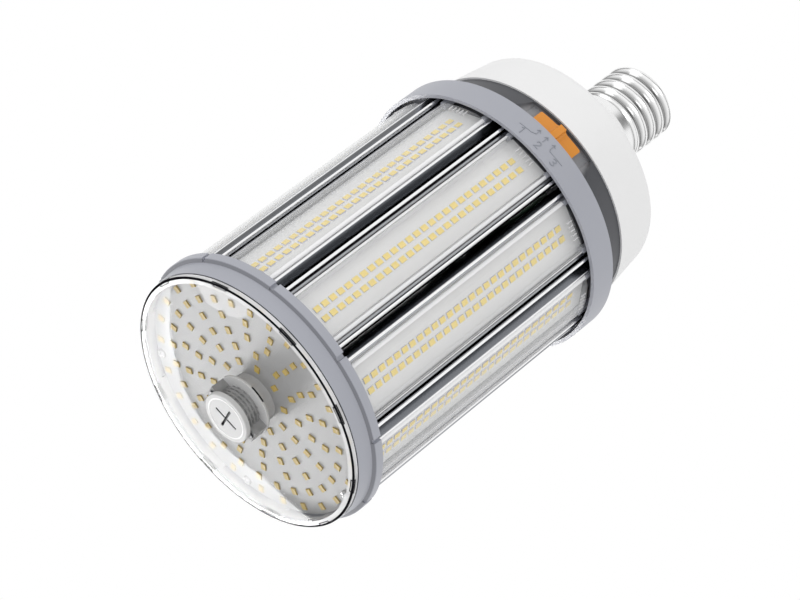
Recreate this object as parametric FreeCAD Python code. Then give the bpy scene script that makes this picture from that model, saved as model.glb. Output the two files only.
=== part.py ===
import FreeCAD
import Part

import math
import os

from FreeCAD import Vector

# A corn lamp: ten lit slats in a ring on a large screw base. All sizes are in millimetres.
# It stands on its centre contact with the lens up, and the power slider faces -Y.

# Screw base
TIP_RADIUS = 6.5
TIP_HEIGHT = 1.8
TIP_STEM_RADIUS = 2.2
INSULATOR_HEIGHT = 5.9
INSULATOR_FOOT_RADIUS = 8.4
INSULATOR_BAND = 3.0
SHELL_LENGTH = 35.5
SHELL_PLAIN_BAND = 7.7
SHELL_CREST_RADIUS = 19.65
SHELL_WALL = 0.65
SHELL_LIP = 1.0
THREAD_DEPTH = 1.7
THREAD_PITCH = 6.35
THREAD_CREST_WIDTH = 4.8
THREAD_SINK = 0.2
THREAD_END = 0.4

# White housing that holds the driver
NECK_LENGTH = 18.5
NECK_STEP = 2.35
NECK_DRAFT = 1.2
STUB_DEPTH = 24.0
STUB_WALL = 5.0
DOME_RISE = 10.8
HOUSING_WALL_HEIGHT = 26.96
HOUSING_PROUD = 0.98
HOUSING_DRAFT = 3.56
HOUSING_EDGE = 2.4
HOUSING_WALL = 2.4
PILLAR_RADIUS = 3.6
PILLAR_INSET = 8.0
PILLAR_COUNT = 3

# Dark band and its slider pocket, whose ends slope out more near the collar
BAND_HEIGHT = 14.48
BAND_STEP = 7.3
BAND_WALL = 2.2
SPIGOT_DEPTH = 4.0
SPIGOT_WALL = 1.6
POCKET_FLOOR_ANGLE = 17.8
POCKET_END_ANGLE = 18.2
POCKET_SLOPE_ANGLE = 26.0
POCKET_DEPTH = 2.7
POCKET_RIM = 0.9
POCKET_BACKING = 2.6

# Power slider
SLIDER_ANGLE = 12.15
SLIDER_HEIGHT = 11.4
SLIDER_PROUD = 0.25
SLIDER_CORNER = 0.9
RIDGE_WIDTH = 3.6
RIDGE_RISE = 2.5
RIDGE_FILLET = 2.0
STEP_ANGLE = 3.86
FORK_PRONG = 1.2
FORK_HEIGHT = 4.0
PEG_WIDTH = 5.2
PEG_HEIGHT = 4.6
SLIDE_GAP = 0.3

# Inner slide switch
SWITCH_WIDTH = 16.0
SWITCH_DEPTH = 7.0
SWITCH_HEIGHT = 8.4
KNOB_WIDTH = 2.4
KNOB_HEIGHT = 2.6
KNOB_REACH = 3.2
KNOB_ROOT = 2.0

# Driver board and what stands on it
BOARD_GAP = 2.7
BOARD_THICKNESS = 1.6
BOARD_DROP = 12.5
CORE_WIDTH = 30.0
CORE_DEPTH = 24.0
CORE_HEIGHT = 22.0
CORE_LEG = 7.0
CORE_PLACE = (0.0, 4.0)
COIL_GAP = 0.6
CAPACITOR_RADIUS = 9.0
CAPACITOR_HEIGHT = 25.0
CAPACITOR_PLACES = [(-30.0, -8.0), (-28.0, 14.0)]
CHOKE_RADIUS = 10.5
CHOKE_BORE = 4.5
CHOKE_HEIGHT = 9.0
CHOKE_PLACE = (30.0, 10.0)
FILM_SIZE = (18.0, 8.0, 14.0)
FILM_PLACE = (24.0, -18.0)
BRIDGE_SIZE = (15.0, 3.4, 12.0)
BRIDGE_PLACE = (0.0, -26.0)
INLET_SIZE = (12.0, 8.0, 7.0)
INLET_PLACE = (0.0, 30.0)

# Grey collar
COLLAR_HEIGHT = 13.89
COLLAR_GAP = 1.1
COLLAR_WALL = 1.8
COLLAR_WEB = 2.5
COLLAR_WEB_INSET = 2.5
STOP_WIDTH = 2.4
STOP_HEIGHT = 3.2

# Slat modules; SEAT_Y is how far the light strips' seats are from the lamp's axis
SEAT_Y = 58.4
SLAT_COUNT = 10
SLAT_LENGTH = 158.56
SLAT_GAP = 1.94
WEB_THICKNESS = 1.8
WEB_KNEE = 0.4
LIP_WALL = 1.2
LIP_RISE = 4.6
LIP_CHAMFER = 0.35
RIB_INSET = 2.45
RIB_WALL = 0.6
RIB_RISE = 2.6
SLOT_RISE = 1.4
SLOT_LIP = 0.6
SLOT_REACH = 1.0
SIDE_WALL = 1.4
SIDE_DEPTH = 14.9
FIN_X = 6.6
FIN_WALL = 1.2
FIN_DEPTH = 11.9
CHANNEL_WIDTH = 2.7
CHANNEL_WALL = 1.2
CHANNEL_DEPTH = 9.9
SCREW_DEPTH = 6.9

# Light strip on each slat
STRIP_INSET = 3.0
STRIP_THICKNESS = 1.0
STRIP_MARGIN = 1.2
CHIP_LENGTH = 3.5
CHIP_WIDTH = 2.8
CHIP_HEIGHT = 0.75
CHIP_ROW_X = 2.7
CHIP_PITCH = 4.948
ROW_CHIP_COUNT = 27
FIRST_CHIP = 18.15

# Clear cover on each slat
COVER_INSET = 1.4
COVER_WALL = 1.0
COVER_CROWN_RISE = 6.6
COVER_SHOULDER_RISE = 4.8
COVER_SHOULDER = 1.6
COVER_FOOT = 1.1
COVER_FOOT_HEIGHT = 1.0
COVER_START = 11.9
COVER_END_GAP = 0.4

# Front frame, which closes on the corners of the slats
FRAME_FLOOR = 3.8
FRAME_WALL_HEIGHT = 5.4
FRAME_DRAFT = 0.7
FRAME_WALL = 1.7
FRAME_BAND_FOOT = 1.6
SKIRT_GAP = 0.2
PAD_WALL = 2.37
PAD_STEP = 1.97
PAD_CHAMFER = 1.05
PAD_DEPTH = 3.44
NOTCH_WIDTH = 2.2
NOTCH_DEPTH = 1.7
CABLE_HOLE = 9.0

# Front board
FRONT_BOARD_GAP = 1.6
FRONT_BOARD_THICKNESS = 1.6
FRONT_BOARD_HOLE = 5.0
FRONT_RING_RADII = [18.3, 26.4, 34.4, 42.5, 50.4]
FRONT_RING_COUNTS = [10, 13, 18, 18, 28]
FRONT_RING_ANGLES = [252.0, 263.1, 0.0, 0.0, 0.0]
OUTER_RING_INSET = 3.8
OUTER_GROUP_COUNT = 5
OUTER_CHIP_COUNT = 5
OUTER_CHIP_ANGLE = 13.65
BOARD_SCREW_INSET = 2.6
BOARD_SCREW_COUNT = 5

# Screws
SCREW_RADIUS = 1.25
SCREW_CLEARANCE = 0.1
SCREW_HEAD_RADIUS = 2.4
SCREW_HEAD_HEIGHT = 1.5
SCREW_BITE = 6.0

# Clear front lens
LENS_INSET = 0.3
LENS_THICKNESS = 2.8
LENS_HOLE_GAP = 0.4
LENS_SKIRT_GAP = 0.3
LENS_SKIRT_WALL = 1.0
LENS_SKIRT_DEPTH = 1.8
CLIP_HALF_ANGLE = 5.5
CLIP_DEPTH = 4.8
HOOK_RISE = 0.8
HOOK_LENGTH = 1.3

# Sensor port
PORT_FLANGE_RADIUS = 15.0
PORT_FLANGE = 1.2
PORT_RADIUS = 10.5
PORT_HEIGHT = 7.9
PORT_BORE = 8.0
PORT_TAIL_RADIUS = 12.0
PORT_RIB_COUNT = 20
PORT_RIB = 0.5
EAR_REACH = 4.0
EAR_WIDTH = 7.0
EAR_HEIGHT = 7.3
EAR_SCREW_RADIUS = 1.75
EAR_SCREW_GAP = 0.15
SEAL_INSET = 0.6
SEAL_WALL = 1.5
SEAL_HEIGHT = 0.6
CAP_PROUD = 2.2
CAP_HEAD = 2.3
CAP_EDGE = 0.4
CAP_STEM = 5.0
CAP_FIT = 0.4
CAP_THREAD_DEPTH = 1.6
CAP_SLOT_LENGTH = 13.2
CAP_SLOT_WIDTH = 1.3
CAP_SLOT_DEPTH = 1.0
SOCKET_GAP = 1.0
SOCKET_HEIGHT = 5.6
SOCKET_PIN_COUNT = 4
SOCKET_PIN_CIRCLE = 3.6
SOCKET_PIN_RADIUS = 0.9
SOCKET_PIN_DEPTH = 4.0

# Places in a slat's section that follow from its seat, with x across and y out from the axis
SLAT_ANGLE = 360.0 / SLAT_COUNT
SLAT_ANGLES = [270.0 + SLAT_ANGLE * i for i in range(SLAT_COUNT)]
SLAT_SLOPE = math.tan(math.radians(SLAT_ANGLE / 2))
UNDER_Y = SEAT_Y - WEB_THICKNESS
KNEE_Y = UNDER_Y + WEB_KNEE
LIP_OUTER_X = KNEE_Y * SLAT_SLOPE - SLAT_GAP / 2
LIP_TOP_Y = SEAT_Y + LIP_RISE
RIB_X = LIP_OUTER_X - RIB_INSET
RIB_TOP_Y = SEAT_Y + RIB_RISE
HOOK_UNDER_Y = SEAT_Y + SLOT_RISE
SIDE_FOOT_Y = SEAT_Y - SIDE_DEPTH
FIN_FOOT_Y = SEAT_Y - FIN_DEPTH
CHANNEL_FOOT_Y = SEAT_Y - CHANNEL_DEPTH
SCREW_Y = SEAT_Y - SCREW_DEPTH
COVER_HALF_WIDTH = RIB_X - COVER_INSET
COVER_CROWN_Y = SEAT_Y + COVER_CROWN_RISE
COVER_SHOULDER_Y = SEAT_Y + COVER_SHOULDER_RISE
STRIP_WIDTH = 2 * (COVER_HALF_WIDTH - STRIP_INSET)
SLAT_CORNER = math.hypot(LIP_OUTER_X, LIP_TOP_Y)

# Radii that follow from the corners of the slats
SKIRT_BORE_RADIUS = SLAT_CORNER + SKIRT_GAP
PAD_RADIUS = SKIRT_BORE_RADIUS + PAD_WALL
FRAME_BAND_RADIUS = PAD_RADIUS - PAD_STEP
FRAME_TOP_RADIUS = FRAME_BAND_RADIUS - FRAME_DRAFT
FRAME_BORE_RADIUS = FRAME_TOP_RADIUS - FRAME_WALL
LENS_RADIUS = FRAME_TOP_RADIUS - LENS_INSET
FRONT_BOARD_RADIUS = FRAME_BORE_RADIUS - FRONT_BOARD_GAP
OUTER_RING_RADIUS = FRONT_BOARD_RADIUS - OUTER_RING_INSET
BOARD_SCREW_CIRCLE = FRONT_BOARD_RADIUS - BOARD_SCREW_INSET
COLLAR_RADIUS = SLAT_CORNER + COLLAR_GAP + COLLAR_WALL
COLLAR_BORE = SIDE_FOOT_Y - COLLAR_WEB_INSET
BAND_RADIUS = COLLAR_RADIUS - BAND_STEP
HOUSING_FRONT_RADIUS = BAND_RADIUS + HOUSING_PROUD
HOUSING_REAR_RADIUS = HOUSING_FRONT_RADIUS - HOUSING_DRAFT
POCKET_RADIUS = BAND_RADIUS - POCKET_DEPTH
BACKING_RADIUS = POCKET_RADIUS - POCKET_BACKING
BOARD_RADIUS = BACKING_RADIUS - BOARD_GAP
PILLAR_CIRCLE = BOARD_RADIUS - PILLAR_INSET

# Radii of the base that follow from its thread's crests
SHELL_ROOT_RADIUS = SHELL_CREST_RADIUS - THREAD_DEPTH
SHELL_BORE_RADIUS = SHELL_ROOT_RADIUS - SHELL_WALL
SHELL_BAND_RADIUS = SHELL_ROOT_RADIUS + SHELL_WALL
NECK_FOOT_RADIUS = SHELL_CREST_RADIUS + NECK_STEP
NECK_TOP_RADIUS = NECK_FOOT_RADIUS + NECK_DRAFT

# Radii of the sensor port that follow from its tower
LENS_HOLE_RADIUS = PORT_TAIL_RADIUS + LENS_HOLE_GAP
EAR_SCREW_X = PORT_RADIUS + EAR_SCREW_GAP + EAR_SCREW_RADIUS
SEAL_RADIUS = PORT_RADIUS - SEAL_INSET
CAP_RADIUS = PORT_RADIUS + CAP_PROUD
SOCKET_RADIUS = PORT_BORE - SOCKET_GAP

# Heights that follow from the sizes above
SHELL_FOOT = TIP_HEIGHT + INSULATOR_HEIGHT
SHELL_TOP = SHELL_FOOT + SHELL_LENGTH
NECK_TOP = SHELL_TOP + NECK_LENGTH
HOUSING_REAR = NECK_TOP + DOME_RISE
HOUSING_TOP = HOUSING_REAR + HOUSING_WALL_HEIGHT
BAND_TOP = HOUSING_TOP + BAND_HEIGHT
COLLAR_TOP = BAND_TOP + COLLAR_HEIGHT
SLAT_FOOT = BAND_TOP + COLLAR_WEB
SLAT_TOP = SLAT_FOOT + SLAT_LENGTH
FLOOR_TOP = SLAT_TOP + FRAME_FLOOR
FRAME_TOP = FLOOR_TOP + FRAME_WALL_HEIGHT
LENS_TOP = FRAME_TOP + LENS_THICKNESS
PORT_TOP = LENS_TOP + PORT_FLANGE + PORT_HEIGHT
CHIP_BASE = FLOOR_TOP + FRONT_BOARD_THICKNESS
BOARD_TOP = BAND_TOP - BOARD_DROP
BOARD_BASE = BOARD_TOP - BOARD_THICKNESS
SLIDER_TOP = BAND_TOP - SLIDE_GAP
SLIDER_MIDDLE = SLIDER_TOP - SLIDER_HEIGHT / 2
CAP_FOOT = PORT_TOP + SEAL_HEIGHT
ORIGIN = Vector(0, 0, 0)
UP = Vector(0, 0, 1)


def at_angle(shape, angle):
    """A copy of the shape, turned about the lamp's axis."""
    copy = shape.copy()
    copy.rotate(ORIGIN, UP, angle)
    return copy


def around(shape, angles):
    """Copies of the shape at each of the angles."""
    return [at_angle(shape, angle) for angle in angles]


def cylinder(radius, bottom, top, x=0.0, y=0.0):
    """An upright cylinder."""
    return Part.makeCylinder(radius, top - bottom, Vector(x, y, bottom))


def tube(bore, radius, bottom, top):
    """An upright tube round the lamp's axis."""
    return cylinder(radius, bottom, top).cut(cylinder(bore, bottom - 1, top + 1))


def block(x, y, z):
    """A box between two limits along each axis."""
    size = (x[1] - x[0], y[1] - y[0], z[1] - z[0])
    return Part.makeBox(*size, Vector(x[0], y[0], z[0]))


def lathe(outline):
    """A closed outline of radius and height, turned once round the lamp's axis."""
    points = [Vector(radius, 0, height) for radius, height in outline]
    face = Part.Face(Part.makePolygon(points + points[:1]))
    return face.revolve(ORIGIN, UP, 360)


def sector(bore, radius, bottom, top, middle, half):
    """Part of a tube, half an angle to each side of its middle."""
    outline = [
        Vector(bore, 0, bottom),
        Vector(radius, 0, bottom),
        Vector(radius, 0, top),
        Vector(bore, 0, top),
    ]
    face = Part.Face(Part.makePolygon(outline + outline[:1]))
    return at_angle(face.revolve(ORIGIN, UP, 2 * half), middle - half)


def prism(outline, bottom, top):
    """A closed flat outline raised from one height to another."""
    points = [Vector(x, y, bottom) for x, y in outline]
    face = Part.Face(Part.makePolygon(points + points[:1]))
    return face.extrude(Vector(0, 0, top - bottom))


def polar(radius, angle):
    """The flat position at a radius and an angle."""
    turn = math.radians(angle)
    return radius * math.cos(turn), radius * math.sin(turn)


def fuse(first, others):
    """One solid made of pieces that meet."""
    return first.multiFuse(others).removeSplitter()


# Screw base


def contact_tip():
    """A soldered button with rounded shoulders, on a stem through the insulator."""
    stem_top = SHELL_FOOT + INSULATOR_BAND
    return lathe([
        (0, 0),
        (TIP_RADIUS * 0.7, 0),
        (TIP_RADIUS * 0.93, TIP_HEIGHT * 0.3),
        (TIP_RADIUS, TIP_HEIGHT),
        (TIP_STEM_RADIUS, TIP_HEIGHT),
        (TIP_STEM_RADIUS, stem_top),
        (0, stem_top),
    ])


def base_insulator():
    seat = SHELL_BORE_RADIUS - SLIDE_GAP
    cone = lathe([
        (TIP_STEM_RADIUS, TIP_HEIGHT),
        (INSULATOR_FOOT_RADIUS, TIP_HEIGHT),
        (seat - SHELL_LIP, SHELL_FOOT),
        (seat - SHELL_LIP, SHELL_FOOT + SHELL_LIP),
        (seat, SHELL_FOOT + SHELL_LIP),
        (seat, SHELL_FOOT + INSULATOR_BAND),
        (TIP_STEM_RADIUS, SHELL_FOOT + INSULATOR_BAND),
    ])
    return cone


def screw_shell():
    """A rolled shell with a round thread, a plain band and a turned-in lower lip."""
    thread_top = SHELL_TOP - SHELL_PLAIN_BAND
    core = lathe([
        (SHELL_BORE_RADIUS - SHELL_LIP, SHELL_FOOT),
        (SHELL_ROOT_RADIUS, SHELL_FOOT),
        (SHELL_ROOT_RADIUS, thread_top),
        (SHELL_BAND_RADIUS, thread_top),
        (SHELL_BAND_RADIUS, SHELL_TOP),
        (SHELL_BORE_RADIUS, SHELL_TOP),
        (SHELL_BORE_RADIUS, SHELL_FOOT + SHELL_LIP),
        (SHELL_BORE_RADIUS - SHELL_LIP, SHELL_FOOT + SHELL_LIP),
    ])
    start = SHELL_FOOT + THREAD_END + THREAD_CREST_WIDTH / 2
    rise = thread_top - THREAD_END - THREAD_CREST_WIDTH / 2 - start
    path = Part.makeHelix(THREAD_PITCH, rise, SHELL_ROOT_RADIUS)
    path.translate(Vector(0, 0, start))
    sink = SHELL_ROOT_RADIUS - THREAD_SINK
    shoulder = SHELL_ROOT_RADIUS + (SHELL_CREST_RADIUS - SHELL_ROOT_RADIUS) * 0.65
    half = THREAD_CREST_WIDTH / 2
    section = [(sink, -half), (shoulder, -half * 0.66), (SHELL_CREST_RADIUS, -half * 0.24)]
    section += [(radius, -height) for radius, height in reversed(section)]
    points = [Vector(radius, 0, start + height) for radius, height in section]
    thread = path.makePipeShell([Part.makePolygon(points + points[:1])], True, True)
    return core.fuse(thread)


# White housing


def base_housing():
    """A drafted cup with a low dome, a neck, and a stub inside the screw shell."""
    stub = SHELL_BORE_RADIUS - SLIDE_GAP
    stub_bore = stub - STUB_WALL
    inner_rear = HOUSING_REAR_RADIUS - HOUSING_WALL
    outer = [
        (stub_bore, SHELL_TOP - STUB_DEPTH),
        (stub, SHELL_TOP - STUB_DEPTH),
        (stub, SHELL_TOP),
        (NECK_FOOT_RADIUS, SHELL_TOP),
        (NECK_TOP_RADIUS, NECK_TOP),
        (HOUSING_REAR_RADIUS - HOUSING_EDGE, HOUSING_REAR - HOUSING_EDGE * 0.5),
        (HOUSING_REAR_RADIUS - HOUSING_EDGE * 0.3, HOUSING_REAR),
        (HOUSING_REAR_RADIUS, HOUSING_REAR + HOUSING_EDGE * 0.7),
        (HOUSING_FRONT_RADIUS, HOUSING_TOP),
    ]
    inner = [
        (HOUSING_FRONT_RADIUS - HOUSING_WALL, HOUSING_TOP),
        (inner_rear, HOUSING_REAR + HOUSING_WALL),
        (NECK_TOP_RADIUS - HOUSING_WALL, NECK_TOP + HOUSING_WALL),
        (NECK_FOOT_RADIUS - HOUSING_WALL, SHELL_TOP + HOUSING_WALL),
        (stub_bore, SHELL_TOP + HOUSING_WALL),
    ]
    cup = lathe(outer + inner)
    angles = [90.0 + 360.0 / PILLAR_COUNT * i for i in range(PILLAR_COUNT)]
    places = [polar(PILLAR_CIRCLE, angle) for angle in angles]
    pillars = [cylinder(PILLAR_RADIUS, HOUSING_REAR, BOARD_BASE, x, y) for x, y in places]
    return fuse(cup, pillars)


# Dark band, slider and inner switch


def switch_band():
    """A hoop with a sloped pocket, a window in its floor and a spigot for the housing."""
    bore = BAND_RADIUS - BAND_WALL
    hoop = tube(bore, BAND_RADIUS, HOUSING_TOP, BAND_TOP)
    spigot_radius = HOUSING_FRONT_RADIUS - HOUSING_WALL - SLIDE_GAP
    draft = (HOUSING_FRONT_RADIUS - HOUSING_REAR_RADIUS) / HOUSING_WALL_HEIGHT
    spigot_foot = HOUSING_TOP - SPIGOT_DEPTH
    spigot = lathe([
        (spigot_radius - SPIGOT_WALL - draft * SPIGOT_DEPTH, spigot_foot),
        (spigot_radius - draft * SPIGOT_DEPTH, spigot_foot),
        (spigot_radius, HOUSING_TOP),
        (spigot_radius, HOUSING_TOP + BAND_WALL),
        (spigot_radius - SPIGOT_WALL - draft * SPIGOT_DEPTH, HOUSING_TOP + BAND_WALL),
    ])
    backing = sector(BACKING_RADIUS, bore + 0.5, HOUSING_TOP, BAND_TOP, 270, POCKET_SLOPE_ANGLE)
    body = fuse(hoop, [spigot, backing])
    foot = pocket_outline(POCKET_END_ANGLE, HOUSING_TOP + POCKET_RIM)
    mouth = pocket_outline(POCKET_SLOPE_ANGLE, BAND_TOP)
    pocket = Part.makeLoft([foot, mouth], True, True)
    half = math.degrees((PEG_WIDTH / 2 + SLIDE_GAP) / POCKET_RADIUS) + STEP_ANGLE
    window_low = SLIDER_MIDDLE - PEG_HEIGHT / 2 - SLIDE_GAP
    window_high = SLIDER_MIDDLE + PEG_HEIGHT / 2 + SLIDE_GAP
    window = sector(BACKING_RADIUS - 1, POCKET_RADIUS + 1, window_low, window_high, 270, half)
    return body.cut(pocket).cut(window)


def pocket_outline(angle, height):
    """The pocket's outline at one height, as wide as the angle where it meets the band's face."""
    reach = 1.4
    spread = POCKET_FLOOR_ANGLE + (angle - POCKET_FLOOR_ANGLE) * reach
    beyond = POCKET_RADIUS + POCKET_DEPTH * reach
    floor = [Vector(*polar(POCKET_RADIUS, 270 + POCKET_FLOOR_ANGLE * s), height) for s in (-1, 0, 1)]
    outer = [Vector(*polar(beyond, 270 + spread * s), height) for s in (-1, 0, 1)]
    return Part.Wire([
        Part.Arc(floor[0], floor[1], floor[2]).toShape(),
        Part.makeLine(floor[2], outer[2]),
        Part.Arc(outer[2], outer[1], outer[0]).toShape(),
        Part.makeLine(outer[0], floor[0]),
    ])


def power_slider():
    """A curved plate with a finger ridge outside and a two-pronged fork inside."""
    skin = POCKET_RADIUS + SLIDE_GAP
    face_radius = BAND_RADIUS + SLIDER_PROUD
    bottom = SLIDER_TOP - SLIDER_HEIGHT
    plate = sector(skin, face_radius, bottom, SLIDER_TOP, 270, SLIDER_ANGLE)
    corners = []
    for edge in plate.Edges:
        box = edge.BoundBox
        radial = box.ZLength < 0.01 and edge.Length < 1.5 * (face_radius - skin)
        if radial and box.ZMin < bottom + 0.01:
            corners.append(edge)
    plate = plate.makeFillet(SLIDER_CORNER, corners)
    half = RIDGE_WIDTH / 2
    crest = face_radius + RIDGE_RISE
    root = face_radius - 0.4
    foot = half + RIDGE_FILLET
    bend = RIDGE_FILLET * (1 - math.sqrt(0.5))
    side = half + bend
    face_left = Vector(-foot, -math.sqrt(face_radius ** 2 - foot ** 2), bottom)
    bend_left = Vector(-side, -(face_radius + bend), bottom)
    wall_left = Vector(-half, -(face_radius + RIDGE_FILLET * 0.9), bottom)
    face_right = Vector(foot, face_left.y, bottom)
    bend_right = Vector(side, bend_left.y, bottom)
    wall_right = Vector(half, wall_left.y, bottom)
    outline = Part.Wire([
        Part.Arc(face_left, bend_left, wall_left).toShape(),
        Part.makeLine(wall_left, Vector(-half, -crest, bottom)),
        Part.makeLine(Vector(-half, -crest, bottom), Vector(half, -crest, bottom)),
        Part.makeLine(Vector(half, -crest, bottom), wall_right),
        Part.Arc(wall_right, bend_right, face_right).toShape(),
        Part.makeLine(face_right, Vector(foot, -root + 0.6, bottom)),
        Part.makeLine(Vector(foot, -root + 0.6, bottom), Vector(-foot, -root + 0.6, bottom)),
        Part.makeLine(Vector(-foot, -root + 0.6, bottom), face_left),
    ])
    ridge = Part.Face(outline).extrude(Vector(0, 0, SLIDER_HEIGHT))
    peg_z = (SLIDER_MIDDLE - PEG_HEIGHT / 2, SLIDER_MIDDLE + PEG_HEIGHT / 2)
    peg_end = BACKING_RADIUS - SLIDE_GAP
    peg = block((-PEG_WIDTH / 2, PEG_WIDTH / 2), (-skin - 0.5, -peg_end), peg_z)
    fork_z = (SLIDER_MIDDLE - FORK_HEIGHT / 2, SLIDER_MIDDLE + FORK_HEIGHT / 2)
    inner = KNOB_WIDTH / 2 + SLIDE_GAP
    fork_y = (-peg_end - 0.5, SWITCH_FACE_Y - SLIDE_GAP)
    left = block((-inner - FORK_PRONG, -inner), fork_y, fork_z)
    right = block((inner, inner + FORK_PRONG), fork_y, fork_z)
    return fuse(plate, [ridge, peg, left, right])


KNOB_TIP_Y = -(BACKING_RADIUS - 2 * SLIDE_GAP)
SWITCH_FACE_Y = KNOB_TIP_Y + KNOB_REACH


def slide_switch():
    """The switch's case, with a window across its face for the knob."""
    case = block(
        (-SWITCH_WIDTH / 2, SWITCH_WIDTH / 2),
        (SWITCH_FACE_Y, SWITCH_FACE_Y + SWITCH_DEPTH),
        (BOARD_TOP, BOARD_TOP + SWITCH_HEIGHT),
    )
    travel = math.radians(STEP_ANGLE) * abs(KNOB_TIP_Y)
    half = KNOB_WIDTH / 2 + travel + SLIDE_GAP
    window = block(
        (-half, half),
        (SWITCH_FACE_Y - 1, SWITCH_FACE_Y + KNOB_ROOT + SLIDE_GAP),
        (SLIDER_MIDDLE - KNOB_HEIGHT / 2 - SLIDE_GAP, SLIDER_MIDDLE + KNOB_HEIGHT / 2 + SLIDE_GAP),
    )
    return case.cut(window)


def switch_knob():
    return block(
        (-KNOB_WIDTH / 2, KNOB_WIDTH / 2),
        (KNOB_TIP_Y, SWITCH_FACE_Y + KNOB_ROOT),
        (SLIDER_MIDDLE - KNOB_HEIGHT / 2, SLIDER_MIDDLE + KNOB_HEIGHT / 2),
    )


# Driver


def driver_board():
    return cylinder(BOARD_RADIUS, BOARD_BASE, BOARD_TOP)


def hanging(size, x, y):
    """A box under the driver board."""
    return block(
        (x - size[0] / 2, x + size[0] / 2),
        (y - size[1] / 2, y + size[1] / 2),
        (BOARD_BASE - size[2], BOARD_BASE),
    )


def driver_transformer():
    """A square ferrite core with a round coil between its legs."""
    opening = (CORE_WIDTH - CORE_LEG, CORE_DEPTH + 2, CORE_HEIGHT - CORE_LEG)
    core = hanging((CORE_WIDTH, CORE_DEPTH, CORE_HEIGHT), *CORE_PLACE)
    window = hanging(opening, *CORE_PLACE)
    window.translate(Vector(0, 0, -CORE_LEG / 2))
    coil_radius = (CORE_WIDTH - CORE_LEG) / 2 - COIL_GAP
    coil = cylinder(coil_radius, BOARD_BASE - CORE_HEIGHT + 1, BOARD_BASE - 1, *CORE_PLACE)
    return fuse(core.cut(window), [coil])


def driver_capacitors():
    low = BOARD_BASE - CAPACITOR_HEIGHT
    cans = [cylinder(CAPACITOR_RADIUS, low, BOARD_BASE, x, y) for x, y in CAPACITOR_PLACES]
    return Part.makeCompound(cans)


def driver_choke():
    low = BOARD_BASE - CHOKE_HEIGHT
    ring = cylinder(CHOKE_RADIUS, low, BOARD_BASE, *CHOKE_PLACE)
    return ring.cut(cylinder(CHOKE_BORE, low - 1, BOARD_BASE + 1, *CHOKE_PLACE))


def driver_parts():
    film = hanging(FILM_SIZE, *FILM_PLACE)
    bridge = hanging(BRIDGE_SIZE, *BRIDGE_PLACE)
    inlet = hanging(INLET_SIZE, *INLET_PLACE)
    return Part.makeCompound([film, bridge, inlet])


# Grey collar


def collar():
    """A thin hoop with a rear web, and two end stops for each slat's cover."""
    hoop = lathe([
        (COLLAR_BORE, BAND_TOP),
        (COLLAR_RADIUS, BAND_TOP),
        (COLLAR_RADIUS, COLLAR_TOP),
        (COLLAR_RADIUS - COLLAR_WALL, COLLAR_TOP),
        (COLLAR_RADIUS - COLLAR_WALL, SLAT_FOOT),
        (COLLAR_BORE, SLAT_FOOT),
    ])
    low = SEAT_Y + STRIP_THICKNESS + 0.3
    high = SLAT_FOOT + COVER_START - COVER_END_GAP
    outer = COVER_HALF_WIDTH - 0.1
    stop = block((outer - STOP_WIDTH, outer), (low, low + STOP_HEIGHT), (SLAT_FOOT - 0.5, high))
    mirror = stop.mirror(ORIGIN, Vector(1, 0, 0))
    angles = [angle - 90 for angle in SLAT_ANGLES]
    body = fuse(hoop, around(stop, angles) + around(mirror, angles))
    hole = cylinder(SCREW_RADIUS + SCREW_CLEARANCE, BAND_TOP - 1, SLAT_FOOT + 1, 0, SCREW_Y)
    for cutter in around(hole, angles):
        body = body.cut(cutter)
    return body


def slat_screws():
    """The screws that hold the slats to the collar, from the driver side."""
    head = cylinder(SCREW_HEAD_RADIUS, BAND_TOP - SCREW_HEAD_HEIGHT, BAND_TOP, 0, SCREW_Y)
    shank = cylinder(SCREW_RADIUS, BAND_TOP - 0.5, SLAT_FOOT + SCREW_BITE, 0, SCREW_Y)
    screw = fuse(head, [shank])
    return Part.makeCompound(around(screw, [angle - 90 for angle in SLAT_ANGLES]))


# Slats


def mirrored(half):
    """A closed outline from its right half, listed from the axis round to the axis."""
    return half + [(-x, y) for x, y in reversed(half)]


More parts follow.
